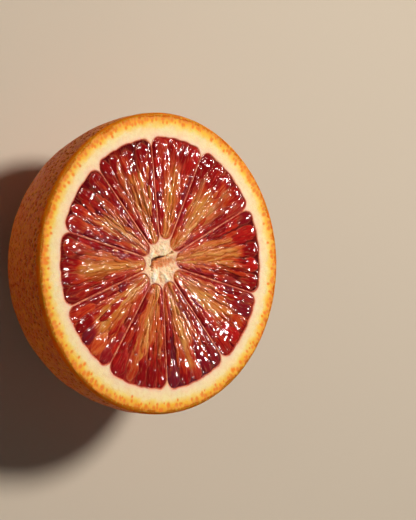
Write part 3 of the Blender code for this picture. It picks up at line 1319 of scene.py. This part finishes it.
@dataclass
class JuiceSacs:
    """The juice sacs of one segment."""

    outline: SegmentOutline
    rng: np.random.Generator
    sacs: list[Sac] = field(default_factory=list)

    # Ranges for all the sacs: how high the crest lies, how long a ripple is, and how much purple
    # and painted sheen a sac has, none below zero. Spreads: how bent it is, and how amber
    CRESTS = (0.0, 0.30)
    RIPPLES = (2.6, 6.5)
    PURPLE_SHEENS = (-1.6, 0.75)
    BEND = 0.006
    AMBER_SPREAD = 0.20
    # Ranges for the outer sacs, and for those along a membrane
    OUTER_LENGTHS = (8.0, 15.0)
    SIDE_STARTS = (3.5, 5.5)
    SIDE_STEPS = (2.4, 4.2)
    SIDE_LENGTHS = (5.0, 9.5)
    SIDE_WIDTHS = (0.7, 1.25)
    # Small wet swellings: how many in a segment, and ranges for their halves and height
    BEADS = 46
    BEAD_LENGTHS = (0.4, 1.5)
    BEAD_WIDTHS = (0.22, 0.42)
    BEAD_HEIGHTS = (0.05, 0.12)
    BEAD_STEEPNESS = 1.6
    # The golden middle: how golden, how wide as a share of the segment, how much wider at the
    # tip, and from where to where it fades on the way out
    GOLD = 0.95
    GOLD_WIDTH = 0.70
    GOLD_TIP = 0.40
    GOLD_FADE = (0.48, 1.08)
    # Where the sacs fan out from, as a share of the way from the core to the segment's tip
    FAN = 0.45
    # The lowest that the surface lies, and the next lowest, where no sac is
    FLOOR = (-0.16, -0.40)
    # How little two sacs differ in height where the wall between them shows
    WALL_WIDTH = 0.07
    # Rows of inner sacs: nearest and furthest wide end as shares of the reach, spacing, half
    # widths, lengths
    ROWS = (
        (0.74, 0.96, 1.7, (0.45, 0.95), (8.0, 14.0)),
        (0.52, 0.78, 0.95, (0.28, 0.56), (7.0, 12.0)),
        (0.32, 0.56, 0.72, (0.24, 0.46), (4.5, 9.0)),
        (0.20, 0.34, 0.70, (0.24, 0.40), (2.4, 4.5)),
    )

    def _add(
        self, radius: float, angle: float, heading: float, length: float, width: float, kind: SacKind
    ) -> None:
        """Lays one sac down.

        Args:
            radius: how far its wide end is from the core.
            angle: the wide end's angle from the segment's axis.
            heading: the direction in which the sac runs.
            length: its length.
            width: half its width.
            kind: where it lies.
        """
        rng = self.rng
        self.sacs.append(
            Sac(
                x=radius * math.cos(angle),
                y=radius * math.sin(angle),
                heading=heading,
                length=length,
                width=width,
                crest=rng.uniform(*self.CRESTS),
                bend=rng.normal(0.0, self.BEND),
                ripple=rng.uniform(*self.RIPPLES),
                phase=rng.uniform(0.0, math.tau),
                amber=kind.value + rng.normal(0.0, self.AMBER_SPREAD),
                tone=rng.uniform(0.0, 1.0),
                purple_sheen=max(0.0, rng.uniform(*self.PURPLE_SHEENS)),
            )
        )

    def fan(self, radius: float, angle: float) -> float:
        """The direction in which the sacs run at a place."""
        x = radius * math.cos(angle) - self.outline.tip * self.FAN
        return math.atan2(radius * math.sin(angle), x)

    def scatter(self) -> None:
        """Lays down all the sacs of the segment."""
        self._lay_outer()
        self._lay_inner()
        for side in (-1.0, 1.0):
            self._lay_side(side)

    def _lay_outer(self) -> None:
        """The wide sacs against the pith."""
        outline, rng = self.outline, self.rng
        for angle, width in zip(outline.bulb_angles, outline.bulb_widths):
            heading = self.fan(outline.reach, angle) + rng.normal(0.0, 0.04)
            length = rng.uniform(*self.OUTER_LENGTHS)
            self._add(outline.reach + 0.2, angle, heading, length, width * 1.06, SacKind.OUTER)

    def _lay_inner(self) -> None:
        """The narrower ones between their tails, in rows down to the tip."""
        outline, rng = self.outline, self.rng
        for near, far, spacing, widths, lengths in self.ROWS:
            room = (near + far) / 2.0 * outline.reach * outline.half_angle * 0.94
            count = max(2, int(2.0 * room / spacing))
            for place in (np.arange(count) + 0.5) / count * 2.0 - 1.0:
                angle = (place + rng.uniform(-0.6, 0.6) / count) * outline.half_angle * 0.9
                radius = rng.uniform(near, far) * outline.reach
                heading = self.fan(radius, angle) + rng.normal(0.0, 0.05)
                length = min(rng.uniform(*lengths), radius - outline.tip * 0.7)
                self._add(radius, angle, heading, length, rng.uniform(*widths), SacKind.INNER)

    def _lay_side(self, side: float) -> None:
        """The crimson ones along a membrane.

        Args:
            side: -1 for the membrane on the right, seen from the core, and 1 for the left.
        """
        outline, rng = self.outline, self.rng
        radius = outline.tip + rng.uniform(*self.SIDE_STARTS)
        while radius < outline.reach - 0.5:
            width = min(rng.uniform(*self.SIDE_WIDTHS), radius * math.sin(outline.half_angle) * 0.36)
            angle = side * (outline.half_angle - (outline.wall + width * 0.8) / radius)
            heading = side * (outline.half_angle + rng.uniform(-0.03, 0.05))
            length = min(rng.uniform(*self.SIDE_LENGTHS), radius - outline.tip)
            self._add(radius, angle, heading, length, width, SacKind.SIDE)
            radius += rng.uniform(*self.SIDE_STEPS)

    def relief(self, local: np.ndarray) -> dict[str, np.ndarray]:
        """The pulp's surface at each point.

        Args:
            local: x and y along the segment's axes, one row for each point.

        Returns:
            Arrays by name: height, amber, tone, purple_sheen, body and wall.
        """
        best = np.full(len(local), self.FLOOR[0])
        second = np.full(len(local), self.FLOOR[1])
        closeness = np.zeros(len(local))
        winner = np.zeros(len(local), dtype=int)
        for index, sac in enumerate(self.sacs):
            height, near = sac.cover(local)
            wins = height > best
            second = np.where(wins, best, np.maximum(second, height))
            winner = np.where(wins, index, winner)
            closeness = np.where(wins, near, closeness)
            best = np.where(wins, height, best)
        traits = np.array([(sac.amber, sac.tone, sac.purple_sheen) for sac in self.sacs])[winner]
        golden = self.golden(local)
        return {
            "height": best,
            "amber": traits[:, 0] + golden,
            "tone": traits[:, 1],
            "purple_sheen": traits[:, 2] * (1.0 - golden),
            "body": closeness,
            "wall": np.exp(-(((best - second) / self.WALL_WIDTH) ** 2)),
        }

    def golden(self, local: np.ndarray) -> np.ndarray:
        """How golden the pulp is: most along the middle and at the tip.

        Args:
            local: x and y along the segment's axes, one row for each point.

        Returns:
            One value for each point, 0 to 1.
        """
        outline = self.outline
        radius = np.hypot(local[:, 0], local[:, 1])
        along = (radius - outline.tip) / (outline.reach - outline.tip)
        across = np.arctan2(local[:, 1], local[:, 0]) / outline.half_angle
        clouds = cloudiness(spatial(local), 5.0, 2, 30.0 + outline.number)
        spread = self.GOLD_WIDTH + self.GOLD_TIP * np.clip(1.0 - along * 3.0, 0.0, 1.0) + clouds * 0.14
        middle = np.exp(-((across / spread) ** 2) * 1.2)
        return middle * (1.0 - smoothstep(along + clouds * 0.25, *self.GOLD_FADE)) * self.GOLD

    def beads(self, local: np.ndarray) -> np.ndarray:
        """Small wet swellings that lie on the sacs.

        Args:
            local: x and y along the segment's axes, one row for each point.

        Returns:
            Their height over each point.
        """
        outline, rng = self.outline, self.rng
        height = np.zeros(len(local))
        for _ in range(self.BEADS):
            radius = math.sqrt(rng.uniform((outline.tip + 1.0) ** 2, (outline.reach - 0.5) ** 2))
            angle = rng.uniform(-0.92, 0.92) * outline.half_angle
            heading = self.fan(radius, angle) + rng.normal(0.0, 0.15)
            length, width = rng.uniform(*self.BEAD_LENGTHS), rng.uniform(*self.BEAD_WIDTHS)
            middle = (radius * math.cos(angle), radius * math.sin(angle))
            rise = rng.uniform(*self.BEAD_HEIGHTS)
            height += rise * mound(local, middle, length, width, heading, self.BEAD_STEEPNESS)
        return height


@dataclass
class PulpSegment:
    """One segment of pulp, a closed wedge that runs down through the fruit."""

    outline: SegmentOutline
    spacing: float = 0.145
    tuck: float = 0.18
    sway: float = 0.30
    edge_drop: float = 0.17
    most_height: float = 0.5
    # Where the rings below the top lie, in degrees down the fruit's round inside
    levels: tuple[float, ...] = (2.0, 13.0, 26.0, 39.0, 51.0, 62.0, 71.0)

    # Further from the middle than any segment reaches
    LATTICE_REACH = 31.0
    # Lumps along the sacs, coarse and fine: (scale along, scale across, layers, offset, height)
    LUMPS = ((0.40, 1.5, 2, 2.0, 0.045), (0.30, 3.0, 1, 7.0, 0.018))
    # How far apart two segments' grains lie, and millimetres across for each radian
    GRAIN_STEP = 40.0
    GRAIN_ARC = 18.0

    def build(self, finish: bpy.types.Material) -> None:
        """Makes the segment and dresses it.

        Args:
            finish: the pulp's material.
        """
        name = f"segment_{self.outline.number:02d}"
        builder = self._sheet()
        self._deepen(builder)
        mesh = mesh_from(builder, f"pulp_{self.outline.number:02d}")
        self._shape(mesh)
        add_piece(mesh.name, mesh, finish, [name])

    def _sheet(self) -> bmesh.types.BMesh:
        """The flat top, a little larger than its pocket so that no gap shows.

        Returns:
            A sheet of fine triangles.
        """
        outline = self.outline
        ring = outline.outline(self.tuck, self.spacing)
        lattice = honeycomb(self.LATTICE_REACH, self.spacing, outline.number)
        depth = outline.margin(outline.to_local(lattice))
        lattice = lattice[depth > self.spacing * CLEAR - self.tuck]

        def keep(middles: np.ndarray) -> np.ndarray:
            """Drops the triangles outside the outline."""
            return outline.margin(outline.to_local(middles)) > -self.tuck - 0.02

        return fine_sheet([ring], lattice, keep)

    def _deepen(self, builder: bmesh.types.BMesh) -> None:
        """Takes the edge down in steps that narrow towards the rounded end, and closes it.

        Args:
            builder: the flat top.
        """
        outline, plan = self.outline, self.outline.plan
        edges = [edge for edge in builder.edges if edge.is_boundary]
        ring = {v for edge in edges for v in edge.verts}
        start = {v: v.co.xy.copy() for v in ring}
        core = Vector(plan.core)
        for tilt in (math.radians(level) for level in self.levels):
            made = bmesh.ops.extrude_edge_only(builder, edges=edges)["geom"]
            edges = [item for item in made if isinstance(item, bmesh.types.BMEdge)]
            moved = {}
            for vertex in (item for item in made if isinstance(item, bmesh.types.BMVert)):
                above = min(vertex.link_edges, key=lambda e: self._sideways(e, vertex))
                first = start[above.other_vert(vertex)]
                radius = (first - core).length
                share = (outline.reach * math.cos(tilt) - outline.tip) / (outline.reach - outline.tip)
                kept = outline.tip + (radius - outline.tip) * share
                flat = core + (first - core) * (kept / radius)
                vertex.co = (flat.x, flat.y, -plan.pocket_depth * math.sin(tilt))
                moved[vertex] = first
            start = moved
        bmesh.ops.holes_fill(builder, edges=edges, sides=0)

    @staticmethod
    def _sideways(edge: bmesh.types.BMEdge, vertex: bmesh.types.BMVert) -> float:
        """How far an edge runs sideways, to find the one that leads straight up."""
        return (edge.other_vert(vertex).co.xy - vertex.co.xy).length

    def _shape(self, mesh: bpy.types.Mesh) -> None:
        """Raises the juice sacs and stores what the finish reads.

        Args:
            mesh: the mesh to finish, its top still flat.
        """
        outline = self.outline
        places = positions(mesh)
        flat = spatial(places[:, :2])
        local = outline.to_local(places[:, :2])
        sacs = JuiceSacs(outline, np.random.default_rng(300 + outline.number))
        sacs.scatter()
        sway = np.column_stack([cloudiness(flat, 2.6, 2, 1.0), cloudiness(flat, 2.6, 2, 17.0)])
        found = sacs.relief(local + sway * self.sway)
        grain = self._grain(local)
        height = found["height"] + sacs.beads(local) + cloudiness(flat, 0.9, 2, 6.0) * 0.012
        for along, across, layers, offset, rise in self.LUMPS:
            height += cloudiness(spatial(grain * [along, across]), 1.0, layers, offset) * rise
        depth = outline.margin(local) + cloudiness(flat, 1.5, 2, 11.0) * 0.26
        edge = smoothstep(depth, -0.16, 0.45)
        height = np.minimum(height, self.most_height) * edge - self.edge_drop * (1.0 - edge)
        places[:, 2] += np.where(on_top(places), height, 0.0) + FACE_HEIGHT
        set_positions(mesh, places * MM)
        found["wall"] *= smoothstep(depth, 0.0, 0.5)
        for name in ("amber", "tone", "purple_sheen", "body", "wall"):
            add_measure(mesh, name, found[name])
        self._lay_grain(mesh, grain)

    def _grain(self, local: np.ndarray) -> np.ndarray:
        """Where each point lies along and across the juice sacs.

        Args:
            local: x and y along the segment's axes, one row for each point.

        Returns:
            The two places in millimetres, one row for each point.
        """
        x, y = local[:, 0] - self.outline.tip * JuiceSacs.FAN, local[:, 1]
        along = np.hypot(x, y) + self.outline.number * self.GRAIN_STEP
        return np.column_stack([along, np.arctan2(y, x) * self.GRAIN_ARC])

    def _lay_grain(self, mesh: bpy.types.Mesh, grain: np.ndarray) -> None:
        """Stores the grain as a map that the finish reads.

        Args:
            mesh: the finished mesh.
            grain: each vertex's place along and across the sacs.
        """
        layer = mesh.uv_layers.new(name="grain")
        corners = np.empty(len(mesh.loops), dtype=np.int32)
        mesh.loops.foreach_get("vertex_index", corners)
        layer.data.foreach_set("uv", grain[corners].astype(np.float32).ravel())


# ---------------------------------------------------------------------------------------------
# Studio
# ---------------------------------------------------------------------------------------------


class LampKind(Enum):
    """What a lamp is for."""

    SOFT = "lights everything, and isn't mirrored"
    GLINT = "is mirrored by what is wet or waxy, and lights nothing else"


@dataclass(frozen=True)
class Lamp:
    """A round area light that points at the middle of the cut face."""

    name: str
    kind: LampKind
    direction: tuple[float, float, float]
    distance: float
    size: float
    power: float
    tint: tuple[float, float, float]


@dataclass
class Studio:
    """A pale floor, soft lights, small lamps for the wet glints, and the camera.

    Distances are in millimetres, a lamp's size is its diameter and its power is in watts. The
    camera looks past the middle of the cut face, which leaves the fruit on the left of the picture.
    """

    face_centre: Vector = field(default_factory=lambda: Vector((0.0, 0.0, CAD_BOX[1].z)))
    distance: float = 504.0
    turn_deg: float = 37.9
    roll_deg: float = -1.2
    lens: float = 146.4
    aim_right: float = 10.6
    aim_up: float = 0.57
    floor_metres: float = 3.0
    surround: float = 0.06

    LAMPS = (
        Lamp("key", LampKind.SOFT, (0.355, 0.35, 0.846), 620.0, 120.0, 4.1, (1.0, 0.96, 0.90)),
        Lamp("fill", LampKind.SOFT, (-0.80, 0.22, 0.42), 900.0, 200.0, 0.23, (1.0, 0.86, 0.66)),
        Lamp("front", LampKind.SOFT, (0.25, -0.90, 0.35), 900.0, 300.0, 0.30, (1.0, 0.98, 0.95)),
        Lamp("glint_above", LampKind.GLINT, (0.355, 0.35, 0.846), 620.0, 55.0, 3.0, (1.0, 0.91, 0.80)),
        Lamp("glint_right", LampKind.GLINT, (0.84, 0.12, 0.53), 620.0, 60.0, 1.8, (1.0, 0.94, 0.86)),
        Lamp("glint_below", LampKind.GLINT, (0.30, -0.45, 0.84), 620.0, 40.0, 1.2, (1.0, 0.98, 0.95)),
    )

    def build(self) -> None:
        """Makes everything that isn't the fruit."""
        self._floor()
        self._surround()
        for lamp in self.LAMPS:
            self._hang(lamp)
        self._camera()
        bpy.context.scene.view_settings.view_transform = "Standard"

    def _floor(self) -> None:
        """A wide pale floor."""
        builder = bmesh.new()
        bmesh.ops.create_grid(builder, x_segments=1, y_segments=1, size=self.floor_metres)
        mesh = bpy.data.meshes.new("floor")
        builder.to_mesh(mesh)
        builder.free()
        material, _, shader = new_finish("pale_floor")
        shader.inputs["Base Color"].default_value = linear(204, 190, 172)
        shader.inputs["Roughness"].default_value = 0.8
        shader.inputs["Specular IOR Level"].default_value = 0.0
        mesh.materials.append(material)
        floor = bpy.data.objects.new("floor", mesh)
        bpy.context.scene.collection.objects.link(floor)

    def _surround(self) -> None:
        """A faint, even light from all around."""
        world = bpy.data.worlds.new("surround")
        bpy.context.scene.world = world
        world.use_nodes = True
        background = world.node_tree.nodes["Background"]
        background.inputs["Color"].default_value = linear(240, 238, 236)
        background.inputs["Strength"].default_value = self.surround

    def _hang(self, lamp: Lamp) -> None:
        """Puts a lamp in its place.

        Args:
            lamp: the lamp.
        """
        data = bpy.data.lights.new(lamp.name, "AREA")
        data.shape = "DISK"
        data.size = lamp.size * MM
        data.energy = lamp.power
        data.color = lamp.tint
        direction = Vector(lamp.direction)
        light = bpy.data.objects.new(lamp.name, data)
        light.location = self.face_centre + direction.normalized() * lamp.distance * MM
        light.rotation_euler = (-direction).to_track_quat("-Z", "Y").to_euler()
        light.visible_glossy = lamp.kind is LampKind.GLINT
        light.visible_diffuse = lamp.kind is LampKind.SOFT
        bpy.context.scene.collection.objects.link(light)

    def _camera(self) -> None:
        """The camera, on the side where the rind shows beside the cut face."""
        turn = math.radians(self.turn_deg)
        up = Vector((0.0, 1.0, 0.0))
        right = Vector((math.cos(turn), 0.0, math.sin(turn)))
        place = self.face_centre + right.cross(up) * self.distance * MM
        aim = self.face_centre + (right * self.aim_right + up * self.aim_up) * MM
        back = (place - aim).normalized()
        right = up.cross(back).normalized()
        axes = Matrix((right, back.cross(right), back)).transposed()
        roll = Matrix.Rotation(math.radians(self.roll_deg), 3, "Z")
        data = bpy.data.cameras.new("camera")
        data.lens = self.lens
        data.sensor_width = 36.0
        data.clip_start = 0.01
        data.clip_end = 10.0
        camera = bpy.data.objects.new("camera", data)
        camera.matrix_world = Matrix.Translation(place) @ (axes @ roll).to_4x4()
        bpy.context.scene.collection.objects.link(camera)
        bpy.context.scene.camera = camera


def main() -> None:
    """Builds the fruit and the studio in order."""
    logging.basicConfig(level=logging.INFO, format="%(name)s: %(message)s")
    plan = FruitPlan()
    outlines = [SegmentOutline(plan, number) for number in range(1, 11)]
    mottling = mottling_group()
    Rind(plan).build(RindFinish(mottling).build())
    CutPeel(plan, outlines).build(CutPeelFinish(mottling).build())
    pulp = PulpFinish().build()
    for outline in outlines:
        PulpSegment(outline).build(pulp)
    Studio().build()


if __name__ == "__main__":
    main()
